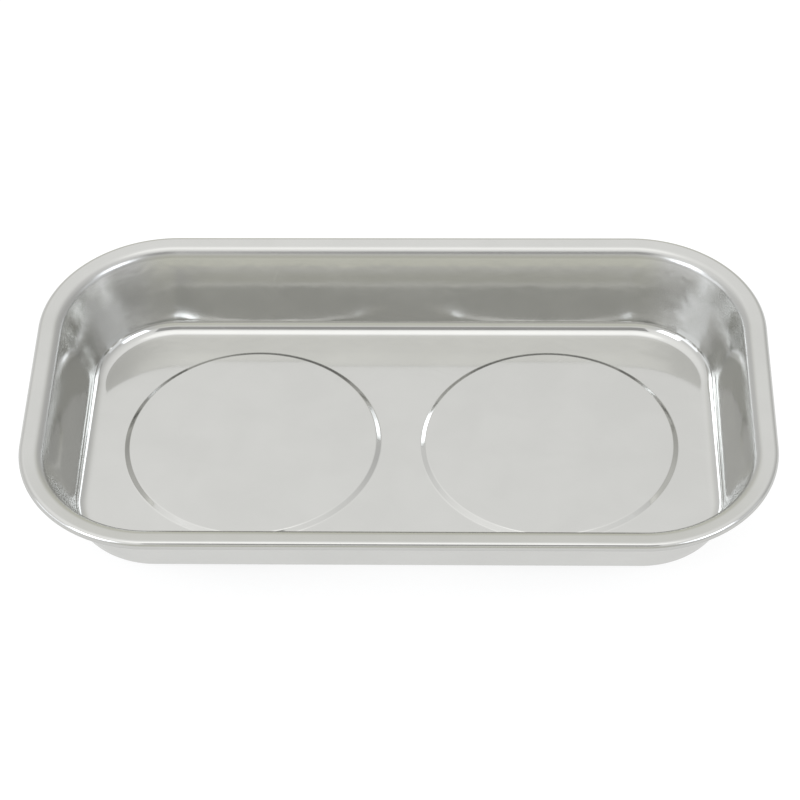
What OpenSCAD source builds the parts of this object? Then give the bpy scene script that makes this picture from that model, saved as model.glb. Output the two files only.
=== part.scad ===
// Magnetic parts tray: a pressed steel pan that stands on two magnets in rubber boots.
// Lengths are millimetres. The origin is at the middle of the tray, on the surface that it stands on.
// X runs along the tray, Y across it and Z up.

/* [Pan] */
// Length of the pan over its rim
pan_length = 240; // [220:1:300]
// Width of the pan over its rim
pan_width = 140; // [130:1:180]
// Corner radius of the rim, seen from above
rim_corner = 43.3; // [36:0.1:55]
// Thickness of the pan's steel sheet
sheet = 0.6; // [0.4:0.1:1]
// Depth inside the pan, from the top of the rim to the floor
inner_depth = 28.5; // [22:0.5:34]
// Slope of the lower wall, in degrees from upright
wall_slope = 16.6; // [11:0.1:19]
// Slope of the wall where it leaves the rim's bend, in degrees from upright
shoulder_slope = 24.5; // [21:0.5:29]
// Radius under the upper wall, which curves from the one slope to the other
shoulder_bend = 84.6; // [40:0.2:95]
// Radius inside the pan between wall and floor
floor_bend = 4.8; // [3:0.1:7]

/* [Rim] */
// Width of the rim's flat, from the outer edge to the bend into the wall
rim_width = 4.2; // [3.5:0.1:8]
// How far the rim's flat falls towards the inside, in degrees
rim_fall = 5; // [2:0.5:8]
// Radius under the bend from the rim into the wall
rim_bend = 3.4; // [1:0.1:5]
// Radius inside the rolled outer edge
roll_bend = 1; // [0.5:0.1:1.4]
// Straight length of the edge that is rolled back under the rim
roll_return = 2; // [1:0.1:2.5]

/* [Raised discs] */
// Distance between the centres of the two discs
disc_spacing = 97.6; // [94:0.2:106]
// Height of each disc above the floor
disc_height = 1.1; // [0.4:0.1:1.5]
// Width of the slope round each disc
disc_slope = 2; // [1.5:0.1:4]
// Gap all round between a boot and the slope of the disc above it
disc_clearance = 1.3; // [0.5:0.1:2]

/* [Magnets] */
// Outer diameter of the ring magnet
magnet_d = 72; // [60:1:74]
// Bore of the ring magnet
magnet_bore = 32; // [26:1:40]
// Thickness of the ring magnet
magnet_t = 8; // [6:0.5:10]
// Bevel on the edges of the ring magnet
magnet_bevel = 0.5; // [0.2:0.1:1]

/* [Rubber boots] */
// Gap between the magnet and the boot's side wall
boot_clearance = 0.2; // [0.1:0.05:0.5]
// Thickness of the boot's side wall
boot_wall = 3; // [2:0.1:4]
// Thickness of the boot's web, between the magnet and the retainer's brim
boot_web = 1.5; // [1:0.1:2.5]
// How far the boot's foot stands below the retainer's brim
foot_drop = 1.5; // [0.8:0.1:2.5]
// Radius round the outside of the boot's foot
foot_round = 1.5; // [0.5:0.1:2]

/* [Retainers] */
// Thickness of the retainer's sheet
retainer_sheet = 1; // [0.8:0.1:1.2]
// Outer diameter of the retainer's brim
brim_d = 50; // [46:1:56]
// Gap between the brim and the boot's foot
brim_clearance = 0.5; // [0.2:0.1:1]
// Gap between the retainer's well and the bore of the magnet
well_clearance = 0.5; // [0.2:0.1:1]
// Radius inside the bends of the retainer
well_bend = 1; // [0.5:0.1:1.5]

/* [Studs, washers and nuts] */
// Diameter of the stud's thread
stud_d = 5; // [4:0.5:6]
// Diameter of the stud's welded flange
stud_flange_d = 7; // [6.5:0.5:9]
// Thickness of the stud's welded flange
stud_flange_t = 1; // [0.6:0.1:1.5]
// Length of thread that shows past the nut
thread_end = 1; // [0.5:0.1:1.5]
// Bevel at the end of the stud's thread
thread_bevel = 0.5; // [0.2:0.1:0.8]
// Gap round the stud in the holes that it passes through
hole_clearance = 0.2; // [0.1:0.05:0.4]
// Gap round the stud in the nut's thread
thread_clearance = 0.05; // [0.02:0.01:0.1]
// Outer diameter of the washer
washer_d = 10; // [9:0.5:13]
// Thickness of the washer
washer_t = 1; // [0.8:0.1:1.6]
// Width of the nut across its flats
nut_flats = 8; // [7.5:0.5:10]
// Height of the nut
nut_h = 4; // [3:0.1:4.5]
// Bevel on the nut's corners, measured in from its flats
nut_bevel = 0.3; // [0.1:0.05:0.5]

/* [Hidden] */

left = -1;
right = 1;
round_sides = 96;
bend_steps = 6;
hexagon = 6;
bevel_angle = 30;

steel = "silver";
plated = "lightgray";
ferrite = "dimgray";
rubber = "black";

// Magnet stack, as depths below the underside of the disc
well_top = stud_flange_t;
well_seat = well_top + retainer_sheet;
nut_top = well_seat + washer_t;
stud_length = nut_top + nut_h + thread_end;
brim_top = magnet_t + boot_web;
brim_bottom = brim_top + retainer_sheet;
boot_height = brim_bottom + foot_drop;

// Diameters of the magnet stack
boot_bore = magnet_d + 2 * boot_clearance;
boot_d = boot_bore + 2 * boot_wall;
foot_bore = brim_d + 2 * brim_clearance;
well_d = magnet_bore - 2 * well_clearance;
stud_hole = stud_d + 2 * hole_clearance;
nut_hole = stud_d + 2 * thread_clearance;
disc_top_d = boot_d + 2 * disc_clearance;
disc_lap = sheet;

// Heights above the surface that the tray stands on
disc_underside = boot_height;
floor_underside = disc_underside - disc_height;
floor_top = floor_underside + sheet;
rim_top = floor_top + inner_depth;

// Radii inside the pan
roll_radius = roll_bend + sheet;
bend_radius = rim_bend + sheet;
shoulder_radius = shoulder_bend + sheet;

// Wall section: inset is the distance in from the rim's outer edge, drop is the depth below the rim's top
bend_offset = bend_radius - roll_radius;
bend_drop = roll_radius + (bend_offset + (rim_width - roll_radius) * sin(rim_fall)) / cos(rim_fall);
shoulder_offset = shoulder_radius - bend_radius;
shoulder_inset = rim_width - shoulder_offset * cos(shoulder_slope);
shoulder_drop = bend_drop + shoulder_offset * sin(shoulder_slope);
wall_top_inset = shoulder_inset + shoulder_radius * cos(wall_slope);
wall_top_drop = shoulder_drop - shoulder_radius * sin(wall_slope);
wall_foot_drop = inner_depth - floor_bend * (1 - sin(wall_slope));
wall_run = (wall_foot_drop - wall_top_drop) * tan(wall_slope);
floor_inset = wall_top_inset + wall_run + floor_bend * cos(wall_slope);

// Half sizes of the straight sides, between the corners
side_x = pan_length / 2 - rim_corner;
side_y = pan_width / 2 - rim_corner;

// A point on a circle, and points along an arc from one angle to another
function on_circle(centre, radius, angle) = centre + radius * [cos(angle), sin(angle)];
function arc(centre, radius, from, to) = [
    for (i = [0 : bend_steps]) on_circle(centre, radius, from + (to - from) * i / bend_steps)
];

// Section of rim, wall and floor. X is the distance out from a corner's centre and Y is the height.
module wall_section() {
    edge = rim_corner;
    roll_centre = [edge - roll_radius, rim_top - roll_radius];
    bend_centre = [edge - rim_width, rim_top - bend_drop];
    shoulder_centre = [edge - shoulder_inset, rim_top - shoulder_drop];
    floor_centre = [edge - floor_inset, floor_top + floor_bend];
    return_end = [edge - roll_radius - roll_return, rim_top - 2 * roll_radius];
    rim_normal = 90 + rim_fall;
    polygon(concat(
        arc(shoulder_centre, shoulder_radius, 180 - wall_slope, 180 - shoulder_slope),
        arc(bend_centre, bend_radius, 180 - shoulder_slope, rim_normal),
        [on_circle(roll_centre, roll_radius, rim_normal)],
        arc(roll_centre, roll_radius, 90, -90),
        [return_end, return_end + [0, sheet]],
        arc(roll_centre, roll_bend, -90, 90),
        [on_circle(roll_centre, roll_bend, rim_normal)],
        arc(bend_centre, rim_bend, rim_normal, 180 - shoulder_slope),
        arc(shoulder_centre, shoulder_bend, 180 - shoulder_slope, 180 - wall_slope),
        arc(floor_centre, floor_bend + sheet, -wall_slope, -90),
        [[0, floor_underside], [0, floor_top]],
        arc(floor_centre, floor_bend, -90, -wall_slope)
    ));
}

// The section swept round one corner
module corner() {
    rotate_extrude(angle = 90, $fn = round_sides) wall_section();
}

// The section swept along a straight side, out from a corner's centre along X
module side(length) {
    rotate([90, 0, 0])
        linear_extrude(length, center = true)
            wall_section();
}

// The pan before its floor is pressed: four sides and four corners round a flat rectangle
module plain_pan() {
    for (turn = [0, 180]) {
        rotate(turn) {
            translate([side_x, 0]) side(2 * side_y);
            translate([side_x, side_y]) corner();
            translate([0, side_y]) rotate(90) side(2 * side_x);
            translate([-side_x, side_y]) rotate(90) corner();
        }
    }
    translate([-side_x, -side_y, floor_underside]) cube([2 * side_x, 2 * side_y, sheet]);
}

module at_discs() {
    for (hand = [left, right]) {
        translate([hand * disc_spacing / 2, 0]) children();
    }
}

// One raised disc with the slope round it, which laps onto the floor
module raised_disc() {
    top_radius = disc_top_d / 2;
    foot_radius = top_radius + disc_slope;
    lap_radius = foot_radius + disc_lap;
    rotate_extrude($fn = round_sides)
        polygon([
            [0, disc_underside],
            [top_radius, disc_underside],
            [foot_radius, floor_underside],
            [lap_radius, floor_underside],
            [lap_radius, floor_top],
            [foot_radius, floor_top],
            [top_radius, disc_underside + sheet],
            [0, disc_underside + sheet]
        ]);
}

module tray_pan() color(steel) {
    difference() {
        plain_pan();
        at_discs() cylinder(h = rim_top, d = disc_top_d + 2 * disc_slope, $fn = round_sides);
    }
    at_discs() raised_disc();
}

// Places a stack piece under the left or right disc, with depths below the disc's underside as negative Z
module under_disc(hand) {
    translate([hand * disc_spacing / 2, 0, disc_underside]) children();
}

module weld_stud(hand) color(plated) under_disc(hand) {
    flange = stud_flange_d / 2;
    shank = stud_d / 2;
    rotate_extrude($fn = round_sides)
        polygon([
            [0, 0],
            [flange, 0],
            [flange, -stud_flange_t],
            [shank, -stud_flange_t],
            [shank, thread_bevel - stud_length],
            [shank - thread_bevel, -stud_length],
            [0, -stud_length]
        ]);
}

module ring_magnet(hand) color(ferrite) under_disc(hand) {
    inner = magnet_bore / 2;
    outer = magnet_d / 2;
    rotate_extrude($fn = round_sides)
        polygon([
            [inner, -magnet_bevel],
            [inner + magnet_bevel, 0],
            [outer - magnet_bevel, 0],
            [outer, -magnet_bevel],
            [outer, magnet_bevel - magnet_t],
            [outer - magnet_bevel, -magnet_t],
            [inner + magnet_bevel, -magnet_t],
            [inner, magnet_bevel - magnet_t]
        ]);
}

module rubber_boot(hand) color(rubber) under_disc(hand) {
    outer = boot_d / 2;
    rotate_extrude($fn = round_sides)
        polygon(concat(
            [[boot_bore / 2, 0], [outer, 0]],
            arc([outer - foot_round, foot_round - boot_height], foot_round, 0, -90),
            [[foot_bore / 2, -boot_height], [foot_bore / 2, -brim_top]],
            [[magnet_bore / 2, -brim_top], [magnet_bore / 2, -magnet_t], [boot_bore / 2, -magnet_t]]
        ));
}

// Top-hat plate: the crown rests on the stud's flange and the brim presses the boot's web to the magnet
module magnet_retainer(hand) color(plated) under_disc(hand) {
    outside = well_bend + retainer_sheet;
    crown_centre = [well_d / 2 - outside, -well_top - outside];
    brim_centre = [well_d / 2 + well_bend, well_bend - brim_top];
    rotate_extrude($fn = round_sides)
        polygon(concat(
            [[stud_hole / 2, -well_top]],
            arc(crown_centre, outside, 90, 0),
            arc(brim_centre, well_bend, 180, 270),
            [[brim_d / 2, -brim_top], [brim_d / 2, -brim_bottom]],
            arc(brim_centre, outside, 270, 180),
            arc(crown_centre, well_bend, 0, 90),
            [[stud_hole / 2, -well_seat]]
        ));
}

module washer(hand) color(plated) under_disc(hand) {
    translate([0, 0, -nut_top])
        linear_extrude(washer_t)
            difference() {
                circle(d = washer_d, $fn = round_sides);
                circle(d = stud_hole, $fn = round_sides);
            }
}

// Hexagon with bevelled corners: the prism is cut to a turned outline, which also forms the bore
module nut(hand) color(plated) under_disc(hand) {
    bore = nut_hole / 2;
    corner = nut_flats / 2 / cos(180 / hexagon);
    face = nut_flats / 2 - nut_bevel;
    bevel_h = (corner - face) * tan(bevel_angle);
    translate([0, 0, -nut_top - nut_h])
        intersection() {
            linear_extrude(nut_h) circle(corner, $fn = hexagon);
            rotate_extrude($fn = round_sides)
                polygon([
                    [bore, 0],
                    [face, 0],
                    [corner, bevel_h],
                    [corner, nut_h - bevel_h],
                    [face, nut_h],
                    [bore, nut_h]
                ]);
        }
}

tray_pan();
weld_stud(left);  // weld_stud_left
weld_stud(right);  // weld_stud_right
ring_magnet(left);  // ring_magnet_left
ring_magnet(right);  // ring_magnet_right
rubber_boot(left);  // rubber_boot_left
rubber_boot(right);  // rubber_boot_right
magnet_retainer(left);  // magnet_retainer_left
magnet_retainer(right);  // magnet_retainer_right
washer(left);  // washer_left
washer(right);  // washer_right
nut(left);  // nut_left
nut(right);  // nut_right
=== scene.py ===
# %% [markdown]
# # A magnetic parts tray
# The real tray is one pan, pressed from polished stainless sheet. Two ring magnets in rubber boots
# hang under its floor: they are the feet, and they also hold the tray to a steel bench and the
# bolts to the tray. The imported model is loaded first, because every piece below takes its place
# from it.

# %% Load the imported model
import math

import bmesh
import bpy
from mathutils import Matrix, Vector


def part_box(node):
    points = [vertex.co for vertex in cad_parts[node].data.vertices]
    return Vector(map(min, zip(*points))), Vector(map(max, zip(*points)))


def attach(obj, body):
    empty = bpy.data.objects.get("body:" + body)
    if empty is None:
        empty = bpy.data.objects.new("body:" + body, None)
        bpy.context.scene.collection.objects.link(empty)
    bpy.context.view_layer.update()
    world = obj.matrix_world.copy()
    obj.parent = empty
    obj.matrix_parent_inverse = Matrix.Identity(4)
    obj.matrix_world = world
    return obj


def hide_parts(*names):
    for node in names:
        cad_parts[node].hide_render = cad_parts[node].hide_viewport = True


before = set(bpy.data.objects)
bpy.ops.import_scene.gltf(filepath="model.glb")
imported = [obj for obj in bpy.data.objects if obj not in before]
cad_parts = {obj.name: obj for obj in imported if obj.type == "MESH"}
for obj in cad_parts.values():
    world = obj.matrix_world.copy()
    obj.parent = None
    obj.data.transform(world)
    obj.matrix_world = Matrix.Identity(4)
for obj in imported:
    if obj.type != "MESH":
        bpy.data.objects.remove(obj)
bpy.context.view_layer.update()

# %% [markdown]
# ## Working by operator
# An operator acts on whatever is selected, so each step starts by clearing the selection and
# picking faces or edges by their place. These helpers hold the few moves that every piece needs:
# open a piece in edit mode, pick some of it, apply a modifier, and hand the finished piece to the
# frame.

# %% Helpers for picking and finishing
MM = 0.001


def select_only(piece):
    """Selects one piece and makes it the active one."""
    bpy.ops.object.select_all(action="DESELECT")
    piece.select_set(True)
    bpy.context.view_layer.objects.active = piece


def edit(piece):
    """Opens one piece in edit mode, with nothing else selected."""
    select_only(piece)
    bpy.ops.object.mode_set(mode="EDIT")


def pick(piece, kind, wanted):
    """Selects the faces or edges of the open piece for which wanted(element) is true."""
    bpy.ops.mesh.select_mode(type=kind)
    bpy.ops.mesh.select_all(action="DESELECT")
    mesh = bmesh.from_edit_mesh(piece.data)
    elements = mesh.faces if kind == "FACE" else mesh.edges
    for element in elements:
        if wanted(element):
            element.select_set(True)
    mesh.select_flush_mode()
    bmesh.update_edit_mesh(piece.data)


def apply_modifier(piece, kind, **settings):
    """Adds a modifier, gives it its settings and applies it."""
    bpy.ops.object.modifier_add(type=kind)
    modifier = piece.modifiers[-1]
    for name, value in settings.items():
        setattr(modifier, name, value)
    bpy.ops.object.modifier_apply(modifier=modifier.name)


def close(piece, crisp_angle=35):
    """Leaves edit mode and shades smooth, but crisp where faces meet at more than an angle."""
    bpy.ops.object.mode_set(mode="OBJECT")
    bpy.ops.object.shade_smooth_by_angle(angle=math.radians(crisp_angle))
    apply_modifier(piece, "WEIGHTED_NORMAL", keep_sharp=True)
    print(piece.name, "has", len(piece.data.polygons), "faces")


def hand_over(piece, node):
    """Lets a finished piece stand for a CAD node and ride with it."""
    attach(piece, "root")
    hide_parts(node)


# %% [markdown]
# ## The outline of the pan
# Seen from above the pan is a rectangle with round corners. It could be drawn as a curve, but a
# plane whose four corners are bevelled gives the same outline as one face, and that face can then
# be pressed into the whole pan. The plane starts at the height where the rolled rim is widest.

# %% Bevel a plane into the outline of the rim
RIM_CORNER = 43.3 * MM
ROLL_RADIUS = 1.6 * MM
CORNER_STEPS = 48

pan_low, pan_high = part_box("tray_pan")
RIM_TOP = pan_high.z
ROLL_HEIGHT = RIM_TOP - ROLL_RADIUS

bpy.ops.object.select_all(action="DESELECT")
bpy.ops.mesh.primitive_plane_add(size=1, location=(0, 0, ROLL_HEIGHT))
pan = bpy.context.object
pan.name = "pressed_pan"
bpy.ops.transform.resize(value=(pan_high.x - pan_low.x, pan_high.y - pan_low.y, 1))
bpy.ops.object.transform_apply(location=True, rotation=True, scale=True)
edit(pan)
bpy.ops.mesh.select_all(action="SELECT")
bpy.ops.mesh.bevel(offset=RIM_CORNER, segments=CORNER_STEPS, affect="VERTICES", clamp_overlap=False)
print("rim outline:", [round(size / MM, 1) for size in pan.dimensions[:2]], "mm")

# %% [markdown]
# ## Pressing a section
# A press pushes flat sheet down step by step, and Blender's inset does the same to a face: it goes
# in by a thickness and up or down by a depth. So a wall is written as the points of its section,
# and each pair of points is one inset. Round bends are arcs of such points.

# %% Sections as points, and the press that follows them
BEND_STEPS = 10


def arc(centre, radius, start, end, steps=BEND_STEPS):
    """Points of a section along an arc: how far in from the edge, and how high."""
    across, up = centre
    angles = [math.radians(start + (end - start) * step / steps) for step in range(steps + 1)]
    return [(across + radius * math.cos(angle), up + radius * math.sin(angle)) for angle in angles]


def press(section):
    """Insets the selected face along a section."""
    for (inner, height), (next_inner, next_height) in zip(section, section[1:]):
        bpy.ops.mesh.inset(thickness=next_inner - inner, depth=next_height - height)


def is_blank(face):
    """True for a large face that is still to be pressed, as every pressed face has four corners."""
    return len(face.verts) > 4


# %% [markdown]
# ## The rolled edge
# The rim of the real pan is rolled under, so that no sharp edge is left to cut a hand. A copy of
# the outline is pressed down and inwards for the lower half of the roll, and what is left inside
# the roll is deleted.

# %% Press the lower half of the roll
ROLL_RETURN = 2.0 * MM

roll_centre = (ROLL_RADIUS, ROLL_HEIGHT)
roll_end = (ROLL_RADIUS + ROLL_RETURN, ROLL_HEIGHT - ROLL_RADIUS)
pick(pan, "FACE", is_blank)
bpy.ops.mesh.duplicate()
press(arc(roll_centre, ROLL_RADIUS, 180, 270) + [roll_end])
bpy.ops.mesh.delete(type="ONLY_FACE")
print("the roll ends", round(roll_end[0] / MM, 2), "mm in from the edge")

# %% [markdown]
# ## Rim, wall and floor
# From the roll the sheet runs along the rim, which falls a little towards the inside, and bends
# down into the wall. The wall has a long soft shoulder: it leans out under the rim and grows
# steeper further down. At its foot it turns into the floor through a wide fillet. All of it is one
# section, so it keeps its shape round the corners as well.

# %% Work out the section
RIM_WIDTH = 4.2 * MM
RIM_FALL = 5.0
RIM_BEND = 4.0 * MM
SHOULDER_SLOPE = 24.5
SHOULDER_RADIUS = 85.2 * MM
WALL_SLOPE = 16.6
FLOOR_BEND = 4.8 * MM
INNER_DEPTH = 28.5 * MM

FLOOR_TOP = RIM_TOP - INNER_DEPTH
fall, upper, lower = (math.radians(angle) for angle in (RIM_FALL, SHOULDER_SLOPE, WALL_SLOPE))
rim_drop = (RIM_BEND - ROLL_RADIUS + (RIM_WIDTH - ROLL_RADIUS) * math.sin(fall)) / math.cos(fall)
bend_height = ROLL_HEIGHT - rim_drop
shoulder_reach = SHOULDER_RADIUS - RIM_BEND
shoulder_in = RIM_WIDTH - shoulder_reach * math.cos(upper)
shoulder_up = bend_height - shoulder_reach * math.sin(upper)
shoulder_centre = (shoulder_in, shoulder_up)
shoulder = arc(shoulder_centre, SHOULDER_RADIUS, SHOULDER_SLOPE, WALL_SLOPE)
wall_inset, wall_height = shoulder[-1]
fillet_height = FLOOR_TOP + FLOOR_BEND
wall_drop = wall_height - fillet_height + FLOOR_BEND * math.sin(lower)
floor_inset = wall_inset + wall_drop * math.tan(lower) + FLOOR_BEND * math.cos(lower)
print("the flat floor starts", round(floor_inset / MM, 2), "mm in from the edge")

# %% Press the rim, the wall and the fillet
FLOOR_MARGIN = 0.6 * MM

pick(pan, "FACE", is_blank)
press(
    arc(roll_centre, ROLL_RADIUS, 180, 90)
    + arc(roll_centre, ROLL_RADIUS, 90, 90 - RIM_FALL, steps=1)[1:]
    + arc((RIM_WIDTH, bend_height), RIM_BEND, 90 - RIM_FALL, SHOULDER_SLOPE)
    + shoulder[1:]
    + arc((floor_inset, fillet_height), FLOOR_BEND, 180 + WALL_SLOPE, 270)
    + [(floor_inset + FLOOR_MARGIN, FLOOR_TOP)]
)
print("faces pressed so far:", len(bmesh.from_edit_mesh(pan.data).faces))

# %% [markdown]
# ## Two raised discs
# The floor has a shallow round step over each magnet. The floor face is opened, a circle is added
# for each disc, and fill closes the floor round them. Each circle then gets its own face, which is
# pressed up along a slope between two small bends.

# %% Fill the floor round two circles
SHEET = 0.6 * MM
DISC_TOP_RADIUS = 40.4 * MM
DISC_SLOPE = 2.2 * MM
DISC_SIDES = 160
SAME_PLACE = 0.01 * MM
SAME_POINT = SAME_PLACE / 10
LEFT = -1
RIGHT = 1

boot_low, boot_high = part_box("rubber_boot_left")
DISC_X = abs(boot_low.x + boot_high.x) / 2
DISC_HEIGHT = boot_high.z + SHEET - FLOOR_TOP
disc_foot_radius = DISC_TOP_RADIUS + DISC_SLOPE

bpy.ops.mesh.delete(type="ONLY_FACE")
for hand in (LEFT, RIGHT):
    bpy.ops.mesh.primitive_circle_add(
        vertices=DISC_SIDES, radius=disc_foot_radius, location=(hand * DISC_X, 0, FLOOR_TOP)
    )
bpy.ops.mesh.select_all(action="SELECT")
bpy.ops.mesh.remove_doubles(threshold=SAME_POINT)


def on_open_floor(edge):
    """True for the floor's open border and for the two circles."""
    flat = all(abs(vertex.co.z - FLOOR_TOP) < SAME_PLACE for vertex in edge.verts)
    return flat and len(edge.link_faces) < 2


pick(pan, "EDGE", on_open_floor)
bpy.ops.mesh.fill()
print("the discs stand", round(DISC_HEIGHT / MM, 2), "mm above the floor")

# %% Press the two discs
DISC_STEEPNESS = 34


def soft_step(width, height, slope):
    """A section that climbs at a slope, and turns into it and out of it through two equal arcs."""
    steep = math.radians(slope)
    radius = (width - height / math.tan(steep)) / math.tan(steep / 2) / 2
    foot = arc((0, radius), radius, 270, 270 + slope)
    crown = arc((width, height - radius), radius, 90 + slope, 90)
    print("the slope's bends have a radius of", round(radius / MM, 2), "mm")
    return foot + crown


def on_ring(x, radius, height):
    """A test for the edges of one level ring round an upright axis at x."""
    def test(edge):
        return all(
            abs(math.hypot(vertex.co.x - x, vertex.co.y) - radius) < SAME_PLACE
            and abs(vertex.co.z - height) < SAME_PLACE
            for vertex in edge.verts
        )
    return test


for hand in (LEFT, RIGHT):
    pick(pan, "EDGE", on_ring(hand * DISC_X, disc_foot_radius, FLOOR_TOP))
    bpy.ops.mesh.edge_face_add()
bpy.ops.mesh.select_all(action="SELECT")
bpy.ops.mesh.normals_make_consistent(inside=False)
if any(face.normal.z < 0 for face in bmesh.from_edit_mesh(pan.data).faces if is_blank(face)):
    bpy.ops.mesh.flip_normals()
for hand in (LEFT, RIGHT):
    pick(pan, "FACE", lambda face: is_blank(face) and face.calc_center_median().x * hand > 0)
    press(soft_step(DISC_SLOPE, DISC_HEIGHT, DISC_STEEPNESS))

# %% [markdown]
# ## Thickness of the sheet
# So far the pan is a surface: the face that a hand can touch. Solidify gives it the sheet's
# thickness on the other side, down and outwards, so the inside keeps its size. Weighted normals
# then keep the flats flat beside the bends.

# %% Thicken the pan and hand it over
bpy.ops.object.mode_set(mode="OBJECT")
apply_modifier(pan, "SOLIDIFY", thickness=SHEET, offset=-1, use_even_offset=True)
close(pan)
hand_over(pan, "tray_pan")

# %% [markdown]
# ## Rubber boots
# Each magnet sits in a rubber cup that keeps it from chipping and gives the tray its two feet. A
# cylinder is the start: insets sink a seat for the magnet from above and a recess for the retainer
# from below, and a bridge opens the hole in the web between the two.

# %% Helpers for round pieces under a disc
TURNED_SIDES = 128
NEARLY_UPRIGHT = 0.9


def turned(name, radius, low, high, sides=TURNED_SIDES):
    """A cylinder under the left disc, from a low to a high level, open in edit mode."""
    bpy.ops.object.select_all(action="DESELECT")
    place = (LEFT * DISC_X, 0, (low + high) / 2)
    bpy.ops.mesh.primitive_cylinder_add(vertices=sides, radius=radius, depth=high - low, location=place)
    piece = bpy.context.object
    piece.name = name
    bpy.ops.object.transform_apply(location=True, rotation=True, scale=True)
    edit(piece)
    return piece


def end_face(side):
    """A test for the end face of a turned piece that looks up (1) or down (-1)."""
    return lambda face: is_blank(face) and face.normal.z * side > NEARLY_UPRIGHT


def through_hole(piece):
    """Joins the two end faces of a turned piece into one hole."""
    pick(piece, "FACE", is_blank)
    bpy.ops.mesh.bridge_edge_loops()


def round_ring(piece, radius, height, size, steps):
    """Bevels one ring of a turned piece."""
    pick(piece, "EDGE", on_ring(LEFT * DISC_X, radius, height))
    bpy.ops.mesh.bevel(offset=size, segments=steps, affect="EDGES")


def hand_over_pair(piece, node):
    """Hands over the left piece, and a copy with a mesh of its own under the right disc."""
    select_only(piece)
    bpy.ops.object.duplicate(linked=False)
    twin = bpy.context.object
    bpy.ops.transform.translate(value=(2 * DISC_X, 0, 0))
    bpy.ops.object.transform_apply(location=True, rotation=True, scale=True)
    twin.name = piece.name.replace("left", "right")
    hand_over(piece, node + "_left")
    hand_over(twin, node + "_right")
    return [piece, twin]


# %% Turn a cylinder into a boot
BOOT_WALL = 3.0 * MM
WEB_HOLE = 16.0 * MM
FOOT_BORE = 25.5 * MM
FOOT_RECESS = 2.5 * MM
FOOT_ROUND = 1.5 * MM
LIP_ROUND = 0.3 * MM
FOOT_STEPS = 8
LIP_STEPS = 3

magnet_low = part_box("ring_magnet_left")[0]
boot_radius = (boot_high.x - boot_low.x) / 2
seat_depth = boot_high.z - magnet_low.z
foot_width = boot_radius - FOOT_BORE
web_reach = boot_radius - WEB_HOLE

boot = turned("boot_left", boot_radius, boot_low.z, boot_high.z)
pick(boot, "FACE", end_face(1))
press([(0, 0), (BOOT_WALL, 0), (BOOT_WALL, -seat_depth), (web_reach, -seat_depth)])
pick(boot, "FACE", end_face(-1))
press([(0, 0), (foot_width, 0), (foot_width, -FOOT_RECESS), (web_reach, -FOOT_RECESS)])
through_hole(boot)
round_ring(boot, boot_radius, boot_low.z, FOOT_ROUND, FOOT_STEPS)
round_ring(boot, FOOT_BORE, boot_low.z, LIP_ROUND, LIP_STEPS)
round_ring(boot, boot_radius, boot_high.z, LIP_ROUND, LIP_STEPS)
close(boot)
boots = hand_over_pair(boot, "rubber_boot")

# %% [markdown]
# ## Retainers
# A top-hat plate of plated steel clamps each boot and its magnet to the pan. It is a small
# pressing, so it is made just as the pan was: a round blank, pressed along the section of its
# underside, and then given its thickness.

# %% Press the retainer from a round blank
RETAINER_SHEET = 1.0 * MM
WELL_RADIUS = 14.5 * MM
WELL_BEND = 1.0 * MM
STUD_HOLE = 2.7 * MM
RETAINER_ROUND = 0.15 * MM
RETAINER_STEPS = 2

retainer_low, retainer_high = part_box("magnet_retainer_left")
brim_radius = (retainer_high.x - retainer_low.x) / 2
crown_height = retainer_high.z - RETAINER_SHEET
outer_bend = WELL_BEND + RETAINER_SHEET
well_inset = brim_radius - WELL_RADIUS

bpy.ops.object.select_all(action="DESELECT")
brim_place = (LEFT * DISC_X, 0, retainer_low.z)
bpy.ops.mesh.primitive_circle_add(
    vertices=TURNED_SIDES, radius=brim_radius, fill_type="NGON", location=brim_place
)
retainer = bpy.context.object
retainer.name = "retainer_left"
bpy.ops.object.transform_apply(location=True, rotation=True, scale=True)
edit(retainer)
pick(retainer, "FACE", is_blank)
press(
    [(0, retainer_low.z)]
    + arc((well_inset - outer_bend, retainer_low.z + outer_bend), outer_bend, 270, 360)
    + arc((well_inset + WELL_BEND, crown_height - WELL_BEND), WELL_BEND, 180, 90)
    + [(brim_radius - STUD_HOLE, crown_height)]
)
bpy.ops.mesh.delete(type="ONLY_FACE")
bpy.ops.mesh.select_all(action="SELECT")
bpy.ops.mesh.flip_normals()
bpy.ops.object.mode_set(mode="OBJECT")
apply_modifier(
    retainer, "SOLIDIFY", thickness=RETAINER_SHEET, offset=-1, use_even_offset=True
)
apply_modifier(
    retainer, "BEVEL", width=RETAINER_ROUND, segments=RETAINER_STEPS, limit_method="ANGLE"
)
close(retainer)
retainers = hand_over_pair(retainer, "magnet_retainer")

# %% [markdown]
# ## Washers
# A plain washer spreads the nut's pressure on the crown of the retainer. It is stamped, so its
# edges are a little round: a cylinder, a hole through it and a small bevel on its four rings.

# %% Make a washer
WASHER_ROUND = 0.12 * MM
WASHER_STEPS = 2

washer_low, washer_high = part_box("washer_left")
washer_radius = (washer_high.x - washer_low.x) / 2
washer = turned("washer_left_ring", washer_radius, washer_low.z, washer_high.z)
for side in (1, -1):
    pick(washer, "FACE", end_face(side))
    bpy.ops.mesh.inset(thickness=washer_radius - STUD_HOLE)
through_hole(washer)
for ring_radius in (washer_radius, STUD_HOLE):
    for ring_height in (washer_low.z, washer_high.z):
        round_ring(washer, ring_radius, ring_height, WASHER_ROUND, WASHER_STEPS)
close(washer)
washers = hand_over_pair(washer, "washer")

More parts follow.
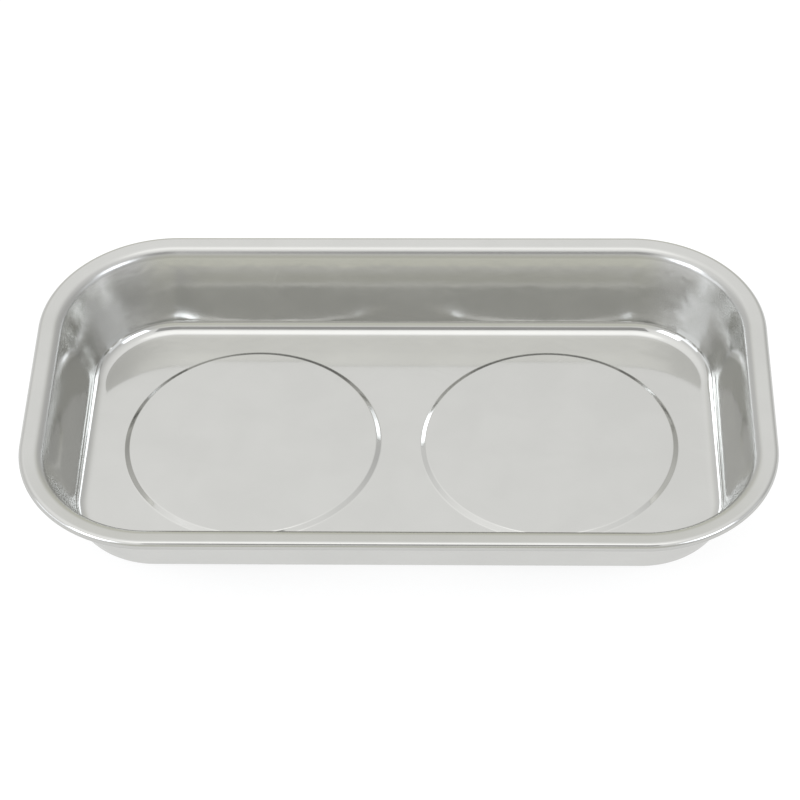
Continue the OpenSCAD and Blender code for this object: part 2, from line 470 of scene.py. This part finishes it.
# %% [markdown]
# ## Nuts
# A hexagon nut is cut from bar and then chamfered on a lathe, which leaves curved edges on its six
# flats. So two shapes are made: a turned blank with its chamfers and its hole, and a hexagon bar.
# Boolean then keeps what lies in both. The hole comes before the Boolean, because inset needs faces
# with evenly spaced points.

# %% Make the turned blank
NUT_FACE = 3.7 * MM
NUT_BORE = 2.55 * MM
NUT_SPARE = 0.3 * MM
CHAMFER_ANGLE = 30

nut_low, nut_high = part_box("nut_left")
nut_corner = (nut_high.x - nut_low.x) / 2
blank_radius = nut_corner + NUT_SPARE
chamfer = (blank_radius - NUT_FACE) * math.tan(math.radians(CHAMFER_ANGLE))

nut = turned("nut_left_hexagon", blank_radius, nut_low.z + chamfer, nut_high.z - chamfer)
for side in (1, -1):
    pick(nut, "FACE", end_face(side))
    bpy.ops.mesh.inset(thickness=blank_radius - NUT_FACE, depth=chamfer)
    bpy.ops.mesh.inset(thickness=NUT_FACE - NUT_BORE)
through_hole(nut)
bpy.ops.object.mode_set(mode="OBJECT")
print("the nut's chamfers are", round(chamfer / MM, 2), "mm high")

# %% Keep what lies in a hexagon bar
HEXAGON = 6
QUARTER_TURN = math.radians(90)
NUT_CRISP = 20

bar = turned(
    "hexagon_bar", nut_corner, nut_low.z - NUT_SPARE, nut_high.z + NUT_SPARE, sides=HEXAGON
)
bpy.ops.mesh.select_all(action="SELECT")
nut_axis = (LEFT * DISC_X, 0, nut_low.z)
bpy.ops.transform.rotate(value=QUARTER_TURN, orient_axis="Z", center_override=nut_axis)
bpy.ops.object.mode_set(mode="OBJECT")
select_only(nut)
apply_modifier(nut, "BOOLEAN", operation="INTERSECT", object=bar, solver="EXACT")
bpy.data.objects.remove(bar)
close(nut, crisp_angle=NUT_CRISP)
across_corners, across_flats = (round(size / MM, 2) for size in nut.dimensions[:2])
print("nut across corners", across_corners, "and flats", across_flats, "mm")
nuts = hand_over_pair(nut, "nut")

# %% [markdown]
# ## Weld studs
# A threaded stud with a small flange is welded under the middle of each disc and carries the whole
# magnet. The flange is a short cylinder and the shank is pressed down from it. The thread is a
# rule: each point of the shank moves in by how far it lies from the crest of a helix.

# %% Press the shank and its rings
SHANK_RADIUS = 2.5 * MM
FLANGE_HEIGHT = 1.0 * MM
PITCH = 0.8 * MM
RINGS_PER_PITCH = 8
STUD_SIDES = 48

stud_low, stud_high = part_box("weld_stud_left")
flange_radius = (stud_high.x - stud_low.x) / 2
flange_low = stud_high.z - FLANGE_HEIGHT
ring_step = PITCH / RINGS_PER_PITCH
ring_count = round((flange_low - stud_low.z) / ring_step)

stud = turned("stud_left", flange_radius, flange_low, stud_high.z, sides=STUD_SIDES)
pick(stud, "FACE", end_face(-1))
bpy.ops.mesh.inset(thickness=flange_radius - SHANK_RADIUS)
for _ in range(ring_count):
    bpy.ops.mesh.inset(thickness=0, depth=ring_step)
print("rings along the shank:", ring_count)

# %% Cut the thread by moving the shank's points
THREAD_DEPTH = 0.4 * MM
PLAIN_SHANK = 1.2 * MM
END_BEVEL = 0.5 * MM

thread_top = flange_low - PLAIN_SHANK


def thread_radius(angle, height):
    """Radius of the shank: a helix of ridges, with a cone at the stud's end."""
    turns = (height - stud_low.z) / PITCH - angle / math.tau
    from_crest = abs(turns - round(turns)) * 2
    ridge = SHANK_RADIUS - THREAD_DEPTH * from_crest
    cone = SHANK_RADIUS - END_BEVEL + (height - stud_low.z)
    return min(ridge, cone)


mesh = bmesh.from_edit_mesh(stud.data)
moved = 0
for vertex in mesh.verts:
    x = vertex.co.x - LEFT * DISC_X
    if vertex.co.z < thread_top:
        angle = math.atan2(vertex.co.y, x)
        radius = thread_radius(angle, vertex.co.z)
        vertex.co.x = LEFT * DISC_X + radius * math.cos(angle)
        vertex.co.y = radius * math.sin(angle)
        moved += 1
bmesh.update_edit_mesh(stud.data)
print("thread points moved:", moved)
close(stud)
studs = hand_over_pair(stud, "weld_stud")

# %% [markdown]
# ## Nodes for the finishes
# A finish is a tree of shader nodes. The first helper adds one node, sets its values and plugs in
# what it is given, so that a tree reads from top to bottom like a recipe. Effects that several
# finishes share are node groups, and small sums on values have helpers of their own.

# %% Helpers for nodes and groups
def add(tree, kind, plugs=None, **settings):
    """Adds a node with its settings. Plugs are values, or output sockets to link from."""
    node = tree.nodes.new("ShaderNode" + kind)
    for name, value in settings.items():
        setattr(node, name, value)
    for name, value in (plugs or {}).items():
        if isinstance(value, bpy.types.NodeSocket):
            tree.links.new(value, node.inputs[name])
        else:
            node.inputs[name].default_value = value
    return node


def new_group(name, inputs, output):
    """Starts a node group with float inputs next to its Place, and one float output."""
    tree = bpy.data.node_groups.new(name, "ShaderNodeTree")
    tree.interface.new_socket("Place", in_out="INPUT", socket_type="NodeSocketVector")
    for label, value in inputs.items():
        socket = tree.interface.new_socket(label, in_out="INPUT", socket_type="NodeSocketFloat")
        socket.default_value = value
    tree.interface.new_socket(output, in_out="OUTPUT", socket_type="NodeSocketFloat")
    return tree, tree.nodes.new("NodeGroupInput").outputs, tree.nodes.new("NodeGroupOutput").inputs


def use_group(tree, group, place, **values):
    """Places a group in a material and returns its output."""
    node = tree.nodes.new("ShaderNodeGroup")
    node.node_tree = group
    tree.links.new(place, node.inputs["Place"])
    for name, value in values.items():
        node.inputs[name].default_value = value
    return node.outputs[0]


# %% Helpers for values
def product(tree, first, second):
    """The product of two values."""
    return add(tree, "Math", {0: first, 1: second}, operation="MULTIPLY").outputs[0]


def add_up(tree, first, second):
    """The sum of two values."""
    return add(tree, "Math", {0: first, 1: second}, operation="ADD").outputs[0]


def larger(tree, first, second):
    """The larger of two values."""
    return add(tree, "Math", {0: first, 1: second}, operation="MAXIMUM").outputs[0]


def size_of(tree, value):
    """A value without its sign."""
    return add(tree, "Math", {0: value}, operation="ABSOLUTE").outputs[0]


def spread(tree, value, low, high, out_low, out_high):
    """Maps a range of a value to another range."""
    plugs = {"Value": value, "From Min": low, "From Max": high, "To Min": out_low, "To Max": out_high}
    return add(tree, "MapRange", plugs).outputs[0]


def ramp_up(tree, value, low, high):
    """Rises softly from 0 to 1 between two values."""
    plugs = {"Value": value, "From Min": low, "From Max": high}
    return add(tree, "MapRange", plugs, interpolation_type="SMOOTHSTEP").outputs[0]


# %% [markdown]
# ## Shared effects
# Drawn lines are the fine parallel marks that rolling and polishing leave in sheet. They are there
# before the press, so they follow the flat blank and take no account of height. Blotches are soft,
# slow changes: a slightly wavy sheet, a cloudy plating, a dusty rubber. Hairlines are the thin
# scratches that handling leaves, which run long in a few directions and come and go.

# %% Group: drawn lines
def comb(tree, place, along, across):
    """Stretches coordinates differently along X and Y, so that a noise turns into lines."""
    stretch = add(tree, "CombineXYZ", {"X": along, "Y": across}).outputs[0]
    return add(tree, "VectorMath", {0: place, 1: stretch}, operation="MULTIPLY").outputs[0]


drawn_lines, given, result = new_group("drawn_lines", {"Along": 40.0, "Across": 4000.0}, "Lines")
combed = comb(drawn_lines, given["Place"], given["Along"], given["Across"])
lines = add(drawn_lines, "TexNoise", {"Vector": combed, "Scale": 1.0, "Detail": 3.0})
drawn_lines.links.new(lines.outputs["Fac"], result["Lines"])
print("nodes in", drawn_lines.name + ":", len(drawn_lines.nodes))

# %% Group: blotches
BLOTCH_DISTORTION = 0.3

blotches, given, result = new_group("blotches", {"Scale": 30.0, "Detail": 2.0}, "Blotch")
plugs = {"Vector": given["Place"], "Scale": given["Scale"], "Detail": given["Detail"]}
cloud = add(blotches, "TexNoise", {**plugs, "Distortion": BLOTCH_DISTORTION})
blotches.links.new(cloud.outputs["Fac"], result["Blotch"])
print("nodes in", blotches.name + ":", len(blotches.nodes))

# %% Group: hairlines
HAIRLINE_ANGLES = (22, -38)
NOISE_MIDDLE = 0.5
PATCH_SCALE = 45.0
PATCH_EDGE = (0.56, 0.66)

line_sizes = {"Along": 12.0, "Across": 420.0, "Width": 0.006}
hairlines, given, result = new_group("hairlines", line_sizes, "Hairline")
all_lines = None
for angle in HAIRLINE_ANGLES:
    plugs = {"Vector": given["Place"], "Angle": math.radians(angle)}
    slanted = add(hairlines, "VectorRotate", plugs, rotation_type="Z_AXIS").outputs[0]
    combed = comb(hairlines, slanted, given["Along"], given["Across"])
    field = add(hairlines, "TexNoise", {"Vector": combed, "Scale": 1.0, "Detail": 1.0})
    plugs = {0: field.outputs["Fac"], 1: NOISE_MIDDLE}
    offset = add(hairlines, "Math", plugs, operation="SUBTRACT").outputs[0]
    line = spread(hairlines, size_of(hairlines, offset), 0, given["Width"], 1, 0)
    patch = add(hairlines, "TexNoise", {"Vector": slanted, "Scale": PATCH_SCALE, "Detail": 1.0})
    shown = product(hairlines, line, spread(hairlines, patch.outputs["Fac"], *PATCH_EDGE, 0, 1))
    all_lines = shown if all_lines is None else larger(hairlines, all_lines, shown)
hairlines.links.new(all_lines, result["Hairline"])
print("nodes in", hairlines.name + ":", len(hairlines.nodes))

# %% [markdown]
# ## Stretched sheet
# A press stretches the sheet in the walls, and more so in the four corners and in the bend below
# the rim. Stretched steel is duller and a little rippled. This group finds those places by their
# height and by how far out they lie, so nothing has to be painted by hand.

# %% Group: where the press has stretched the sheet
WALL_START = 3.0 * MM
WALL_END = 6.0 * MM
CORNER_RAMP = 12.0 * MM
BEND_START = 0.2 * MM
BEND_END = 0.8 * MM

amounts = {"Walls": 0.06, "Corners": 0.2, "Bends": 0.2}
stretched_sheet, given, result = new_group("stretched_sheet", amounts, "Amount")
apart = add(stretched_sheet, "SeparateXYZ", {0: given["Place"]}).outputs
above_floor = ramp_up(stretched_sheet, apart["Z"], FLOOR_TOP + WALL_START, FLOOR_TOP + WALL_END)
below_rim = ramp_up(stretched_sheet, apart["Z"], RIM_TOP - WALL_START, RIM_TOP - WALL_END)
on_wall = product(stretched_sheet, above_floor, below_rim)
in_corner = on_wall
for axis, side_end in (("X", pan_high.x - RIM_CORNER), ("Y", pan_high.y - RIM_CORNER)):
    away = size_of(stretched_sheet, apart[axis])
    past_side = ramp_up(stretched_sheet, away, side_end, side_end + CORNER_RAMP)
    in_corner = product(stretched_sheet, in_corner, past_side)
below_flat = ramp_up(stretched_sheet, apart["Z"], RIM_TOP - BEND_START, RIM_TOP - BEND_END)
above_wall = ramp_up(stretched_sheet, apart["Z"], RIM_TOP - WALL_END, RIM_TOP - WALL_START)
on_bend = product(stretched_sheet, below_flat, above_wall)
amount = product(stretched_sheet, on_wall, given["Walls"])
for mask, label in ((in_corner, "Corners"), (on_bend, "Bends")):
    amount = add_up(stretched_sheet, amount, product(stretched_sheet, mask, given[label]))
stretched_sheet.links.new(amount, result["Amount"])
print("groups:", [group.name for group in bpy.data.node_groups])

# %% [markdown]
# ## Polished sheet steel
# The pan is a bright metal that shows its surroundings, so its look is mostly reflection. What
# makes it sheet metal and not a mirror is small: a slow waviness that bends the reflections, fine
# drawn lines, a slightly cloudy polish, and hairlines where the sheet is still smooth enough to
# show them. The walls are duller and rippled, most of all in the corners. The bend below the rim
# has a darker colour, which is painted shade: it dims the bright highlight that the bend reflects.

# %% Helpers for materials
def new_material(name):
    """Starts a material and returns its tree, its shader and its Object coordinates."""
    material = bpy.data.materials.new(name)
    material.use_nodes = True
    tree = material.node_tree
    shader = tree.nodes["Principled BSDF"]
    place = tree.nodes.new("ShaderNodeTexCoord").outputs["Object"]
    return material, tree, shader, place


def mix_colours(tree, share, first, second):
    """A colour between two others, by a share that changes over the surface."""
    plugs = {"Factor": share, "A": first, "B": second}
    return add(tree, "Mix", plugs, data_type="RGBA").outputs["Result"]


def bump(tree, height, distance, normal=None):
    """Raises the surface by a height, on top of an earlier bump if there is one."""
    node = add(tree, "Bump", {"Height": height, "Distance": distance})
    if normal is not None:
        tree.links.new(normal, node.inputs["Normal"])
    return node.outputs["Normal"]


# %% Polished steel: colour
STEEL_DARK = (0.612, 0.612, 0.592, 1)
STEEL_PALE = (0.632, 0.632, 0.612, 1)
STEEL_EDGE = (0.86, 0.86, 0.86, 1)
# The bend's darker colour is painted shade that dims the highlight the bend reflects.
BEND_PAINTED_SHADE = (0.525, 0.525, 0.508, 1)
BEND_FOOT = 2.4 * MM
TINT_RANGE = (0.35, 0.65)

steel, tree, shader, place = new_material("polished_steel")
clouds = use_group(tree, blotches, place, Scale=60.0, Detail=4.0)
tint = mix_colours(tree, spread(tree, clouds, *TINT_RANGE, 0, 1), STEEL_DARK, STEEL_PALE)
steel_z = add(tree, "SeparateXYZ", {0: place}).outputs["Z"]
# Painted shade: a darker colour on the bend below the rim dims the highlight it reflects.
past_flat = ramp_up(tree, steel_z, RIM_TOP - BEND_START, RIM_TOP - BEND_END)
before_wall = ramp_up(tree, steel_z, RIM_TOP - BEND_FOOT - BEND_END, RIM_TOP - BEND_FOOT)
painted_shade_on_bend = product(tree, past_flat, before_wall)
tree.links.new(mix_colours(tree, painted_shade_on_bend, tint, BEND_PAINTED_SHADE), shader.inputs["Base Color"])
shader.inputs["Metallic"].default_value = 1.0
shader.inputs["Specular Tint"].default_value = STEEL_EDGE
print("nodes for the colour:", len(tree.nodes))

# %% Polished steel: polish, waves and ripples
CLOUD_RANGE = (0.3, 0.7)
POLISH = (0.07, 0.10)
SCRATCHED = 0.12
WAVE_HEIGHT = 0.02 * MM
RIPPLE_HEIGHT = 0.17 * MM
GRAIN_HEIGHT = 0.0003 * MM

marks = use_group(tree, hairlines, place)
polish = spread(tree, clouds, *CLOUD_RANGE, *POLISH)
stretched = use_group(tree, stretched_sheet, place, Walls=0.05, Corners=0.11, Bends=0.16)
dulled = larger(tree, stretched, spread(tree, marks, 0, 1, 0, SCRATCHED))
tree.links.new(add_up(tree, polish, dulled), shader.inputs["Roughness"])
waves = use_group(tree, blotches, place, Scale=22.0, Detail=1.0)
small_waves = use_group(tree, blotches, place, Scale=170.0, Detail=1.0)
ripples = spread(tree, small_waves, 0, 1, -NOISE_MIDDLE, NOISE_MIDDLE)
where = use_group(tree, stretched_sheet, place, Walls=0.3, Corners=0.7, Bends=0.0)
wavy = bump(tree, waves, WAVE_HEIGHT)
rippled = bump(tree, product(tree, ripples, where), RIPPLE_HEIGHT, wavy)
grain = use_group(tree, drawn_lines, place, Along=60.0, Across=3000.0)
tree.links.new(bump(tree, grain, GRAIN_HEIGHT, rippled), shader.inputs["Normal"])
print("nodes in", steel.name + ":", len(tree.nodes))

# %% [markdown]
# ## Zinc plate
# The retainers, washers, nuts and studs are plated. Zinc is a bluer and duller grey than the
# polished pan, cloudy where the bath left it thicker, and it takes scratches from the spanner.

# %% Material: zinc plate
ZINC_DARK = (0.50, 0.51, 0.53, 1)
ZINC_PALE = (0.62, 0.62, 0.60, 1)
ZINC_POLISH = (0.26, 0.40)
SPANNER_MARKS = 0.15
ZINC_GRAIN = 0.01 * MM

zinc, tree, shader, place = new_material("zinc_plate")
clouds = use_group(tree, blotches, place, Scale=260.0, Detail=4.0)
marks = use_group(tree, hairlines, place, Along=60.0, Across=1500.0, Width=0.012)
tint = mix_colours(tree, spread(tree, clouds, *CLOUD_RANGE, 0, 1), ZINC_DARK, ZINC_PALE)
polish = spread(tree, clouds, *CLOUD_RANGE, *ZINC_POLISH)
dull = add_up(tree, polish, spread(tree, marks, 0, 1, 0, SPANNER_MARKS))
tree.links.new(tint, shader.inputs["Base Color"])
tree.links.new(dull, shader.inputs["Roughness"])
tree.links.new(bump(tree, clouds, ZINC_GRAIN), shader.inputs["Normal"])
shader.inputs["Metallic"].default_value = 1.0
print("nodes in", zinc.name + ":", len(tree.nodes))

# %% [markdown]
# ## Black rubber
# The boots are moulded rubber: nearly black, matt, with a fine sandy skin from the mould. Their
# feet pick up grey dust from the bench, so the lowest part of each boot is paler, in patches.

# %% Material: black rubber
RUBBER_BLACK = (0.018, 0.018, 0.019, 1)
DUST_GREY = (0.16, 0.155, 0.145, 1)
DUST_HEIGHT = 2.5 * MM
DUST_RANGE = (0.4, 0.65)
DUST_SHARE = 0.3
SCUFF_SHARE = 0.4
RUBBER_POLISH = (0.55, 0.75)
SKIN_HEIGHT = 0.05 * MM

rubber, tree, shader, place = new_material("black_rubber")
skin = use_group(tree, blotches, place, Scale=2600.0, Detail=2.0)
patches = use_group(tree, blotches, place, Scale=420.0, Detail=5.0)
marks = use_group(tree, hairlines, place, Along=40.0, Across=700.0, Width=0.02)
rubber_z = add(tree, "SeparateXYZ", {0: place}).outputs["Z"]
low_down = spread(tree, rubber_z, 0, DUST_HEIGHT, 1, 0)
dusty = product(tree, low_down, spread(tree, patches, *DUST_RANGE, 0, DUST_SHARE))
scuffs = larger(tree, dusty, spread(tree, marks, 0, 1, 0, SCUFF_SHARE))
tint = mix_colours(tree, scuffs, RUBBER_BLACK, DUST_GREY)
matt_skin = spread(tree, patches, *CLOUD_RANGE, *RUBBER_POLISH)
tree.links.new(tint, shader.inputs["Base Color"])
tree.links.new(matt_skin, shader.inputs["Roughness"])
tree.links.new(bump(tree, skin, SKIN_HEIGHT), shader.inputs["Normal"])
print("nodes in", rubber.name + ":", len(tree.nodes))

# %% [markdown]
# ## Ferrite
# A ring magnet is pressed from oxide powder and fired, like a dark pot. It is charcoal grey and
# matt, with a fine grain and a few paler grinding marks on its faces.

# %% Material: ferrite
FERRITE_DARK = (0.035, 0.036, 0.040, 1)
FERRITE_PALE = (0.075, 0.076, 0.080, 1)
GROUND_RANGE = (0.35, 0.7)
FERRITE_POLISH = (0.5, 0.72)
FERRITE_GRAIN = 0.02 * MM

ferrite, tree, shader, place = new_material("sintered_ferrite")
grain = use_group(tree, blotches, place, Scale=3500.0, Detail=3.0)
ground = use_group(tree, drawn_lines, place, Along=150.0, Across=2500.0)
tint = mix_colours(tree, spread(tree, ground, *GROUND_RANGE, 0, 1), FERRITE_DARK, FERRITE_PALE)
fired = spread(tree, grain, *CLOUD_RANGE, *FERRITE_POLISH)
tree.links.new(tint, shader.inputs["Base Color"])
tree.links.new(fired, shader.inputs["Roughness"])
tree.links.new(bump(tree, grain, FERRITE_GRAIN), shader.inputs["Normal"])
print("nodes in", ferrite.name + ":", len(tree.nodes))

# %% [markdown]
# ## A finish for every piece
# Each piece wears one finish, so its list of materials is cleared first. The two ring magnets are
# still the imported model's own pieces. They are plain rings that need no new shape, only a finish.

# %% Give every piece its finish
magnets = [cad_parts[name] for name in ("ring_magnet_left", "ring_magnet_right")]
finishes = [
    (steel, [pan]),
    (zinc, retainers + washers + nuts + studs),
    (rubber, boots),
    (ferrite, magnets),
]
for material, pieces in finishes:
    for piece in pieces:
        piece.data.materials.clear()
        piece.data.materials.append(material)
    print(material.name, "on", [piece.name for piece in pieces])

# %% [markdown]
# ## The table
# A polished pan shows the room, so the room is part of its look. The table is pale paper. What the
# camera and the reflections see of it glows, so that it comes out white. Matt surfaces get no light
# from that glow, and the tray's shadow still falls on the paper.

# %% The table
TABLE_SIZE = 8.0
TABLE_SHADE = 0.22
TABLE_GLOW = 0.84

bpy.ops.object.select_all(action="DESELECT")
bpy.ops.mesh.primitive_plane_add(size=TABLE_SIZE)
table = bpy.context.object
table.name = "studio_table"

paper = bpy.data.materials.new("white_paper")
paper.use_nodes = True
tree = paper.node_tree
tree.nodes.clear()
ray = tree.nodes.new("ShaderNodeLightPath").outputs
mirrored = add_up(tree, ray["Is Camera Ray"], ray["Is Glossy Ray"])
seen = add_up(tree, mirrored, ray["Is Transmission Ray"])
matt = add(tree, "BsdfDiffuse", {"Color": (TABLE_SHADE, TABLE_SHADE, TABLE_SHADE, 1)})
glow = add(tree, "Emission", {"Strength": product(tree, seen, TABLE_GLOW)})
both = add(tree, "AddShader", {0: matt.outputs[0], 1: glow.outputs[0]})
add(tree, "OutputMaterial", {"Surface": both.outputs[0]})
table.data.materials.append(paper)
print(table.name, "is", TABLE_SIZE, "m wide")

# %% [markdown]
# ## Walls and ceiling
# The room is a background whose tone follows the height of the direction: grey, slightly warm walls
# and a bright ceiling. It is a little brighter on the left than on the right, and neutral at both
# ends, where daylight comes in.

# %% The walls and ceiling
# Each entry: height of the direction (0 level, 1 straight up), tone, share of blue
ROOM_TONES = [
    (0.0, 0.80, 0.88), (0.2, 0.77, 0.88), (0.42, 0.76, 0.93), (0.57, 0.84, 0.96),
    (0.71, 0.99, 1.0), (0.87, 1.09, 1.0), (0.95, 1.18, 1.0), (0.978, 1.48, 1.0), (1.0, 1.5, 1.0),
]
ROOM_SLANT = 0.15
ROOM_ENDS = 0.25
CEILING = ROOM_TONES[-1][1]
NEW_STOP = 0.5

room = bpy.data.worlds.new("white_studio")
bpy.context.scene.world = room
room.use_nodes = True
tree = room.node_tree
direction = tree.nodes.new("ShaderNodeTexCoord").outputs["Generated"]
apart = add(tree, "SeparateXYZ", {0: direction}).outputs
tones = add(tree, "ValToRGB", {"Fac": apart["Z"]})
ramp = tones.color_ramp.elements
while len(ramp) < len(ROOM_TONES):
    ramp.new(NEW_STOP)
for stop, (position, tone, blue) in zip(ramp, ROOM_TONES):
    share = tone / CEILING
    stop.position = position
    stop.color = (share, share, share * blue, 1)
slant = spread(tree, apart["X"], -1, 1, 1 + ROOM_SLANT, 1 - ROOM_SLANT)
warmth = spread(tree, product(tree, apart["X"], apart["X"]), 0, ROOM_ENDS, 1, 0)
neutral = add(tree, "HueSaturation", {"Saturation": warmth, "Color": tones.outputs["Color"]})
background = tree.nodes["Background"]
tree.links.new(product(tree, slant, CEILING), background.inputs["Strength"])
tree.links.new(neutral.outputs["Color"], background.inputs["Color"])
print("tones from wall to ceiling:", [tone for position, tone, blue in ROOM_TONES])

# %% [markdown]
# ## Soft boxes, hot spots and side windows
# Three lights stand on each side, towards the camera: a soft box, a brighter spot within it, and a
# low window. They give the walls and corners of the pan their glints. The energy of each is worked
# out from the tone that it should show in a mirror, so a light can change its size and keep its
# tone.

# %% Soft boxes, hot spots and side windows
SOFT_BOX_DISTANCE = 1.5
DAYLIGHT = (0.955, 1.0, 1.10)
# Each entry: azimuth and elevation in degrees, width and height in metres, tone
SOFT_BOXES = {
    "soft_box_left": (-128, 35.5, 0.74, 0.58, 2.3),
    "hot_spot_left": (-127, 34, 0.42, 0.52, 1.8),
    "side_window_left": (-105, 17, 1.00, 0.45, 0.75),
    "soft_box_right": (124, 36, 0.92, 0.54, 1.5),
    "hot_spot_right": (125, 34, 0.42, 0.44, 1.7),
    "side_window_right": (103, 17, 1.00, 0.45, 0.35),
}


def towards(azimuth, elevation):
    """A direction from the tray: azimuth 0 is straight away from the camera, 90 is to the right."""
    a, e = math.radians(azimuth), math.radians(elevation)
    return Vector((math.sin(a) * math.cos(e), math.cos(a) * math.cos(e), math.sin(e)))


def aimed(place, target):
    """A transform that looks from a place to a target, with its top upwards."""
    turn = (target - place).to_track_quat("-Z", "Y")
    return Matrix.Translation(place) @ turn.to_matrix().to_4x4()


tray_middle = Vector((0, 0, FLOOR_TOP))
for name, (azimuth, elevation, width, height, tone) in SOFT_BOXES.items():
    light = bpy.data.lights.new(name, "AREA")
    light.shape = "RECTANGLE"
    light.size = width
    light.size_y = height
    light.energy = tone * math.pi * width * height
    light.color = DAYLIGHT
    soft_box = bpy.data.objects.new(name, light)
    bpy.context.scene.collection.objects.link(soft_box)
    box_place = tray_middle + towards(azimuth, elevation) * SOFT_BOX_DISTANCE
    soft_box.matrix_world = aimed(box_place, tray_middle)
    print(name, "has", round(light.energy, 2), "W")

# %% [markdown]
# ## The dark camera that the metal shows
# In a photograph of polished metal the dark camera shows too. A grey card above the tray stands for
# it. Only reflections see the card: it hides nothing and throws no shadow.

# %% The dark camera that the metal shows
DARK_AZIMUTH = 177.6
DARK_ELEVATION = 56
DARK_DISTANCE = 1.2
DARK_SIZE = 0.52
DARK_SHADE = 0.44

bpy.ops.object.select_all(action="DESELECT")
bpy.ops.mesh.primitive_plane_add(size=DARK_SIZE)
card = bpy.context.object
card.name = "camera_shade"
card_place = tray_middle + towards(DARK_AZIMUTH, DARK_ELEVATION) * DARK_DISTANCE
card.matrix_world = aimed(card_place, tray_middle)
card.visible_camera = False
card.visible_diffuse = False
card.visible_shadow = False
shade = bpy.data.materials.new("camera_black")
shade.use_nodes = True
tree = shade.node_tree
tree.nodes.clear()
grey = add(tree, "Emission", {"Color": (DARK_SHADE, DARK_SHADE, DARK_SHADE, 1)})
add(tree, "OutputMaterial", {"Surface": grey.outputs[0]})
card.data.materials.append(shade)
print(card.name, "is", DARK_DISTANCE, "m from the tray")

# %% [markdown]
# ## The camera
# The camera looks down at the tray from the front, a little to the right, with a long lens. Its
# direction, distance and slight tilt are those that make the rim's outline fall where the
# photograph has it.

# %% Set up the camera
VIEW_AZIMUTH = 2.417
VIEW_ELEVATION = 45.623
VIEW_TILT = -1.586
VIEW_DISTANCE = 897.922 * MM
VIEW_TARGET = Vector((0.377, -7.254, 39.4)) * MM
SENSOR = 36.0
LENS = 126.03

a, e, t = (math.radians(angle) for angle in (VIEW_AZIMUTH, VIEW_ELEVATION, VIEW_TILT))
backwards = Vector((math.sin(a) * math.cos(e), -math.cos(a) * math.cos(e), math.sin(e)))
level = Vector((math.cos(a), math.sin(a), 0))
upwards = backwards.cross(level)
sideways = math.cos(t) * level + math.sin(t) * upwards
upright = math.cos(t) * upwards - math.sin(t) * level

lens = bpy.data.cameras.new("camera")
lens.sensor_width = SENSOR
lens.lens = LENS
camera = bpy.data.objects.new("camera", lens)
bpy.context.scene.collection.objects.link(camera)
view_turn = Matrix((sideways, upright, backwards)).transposed().to_4x4()
camera.matrix_world = Matrix.Translation(VIEW_TARGET + backwards * VIEW_DISTANCE) @ view_turn
bpy.context.scene.camera = camera
bpy.context.scene.view_settings.view_transform = "Standard"
print("camera at", [round(value / MM) for value in camera.matrix_world.translation], "mm")
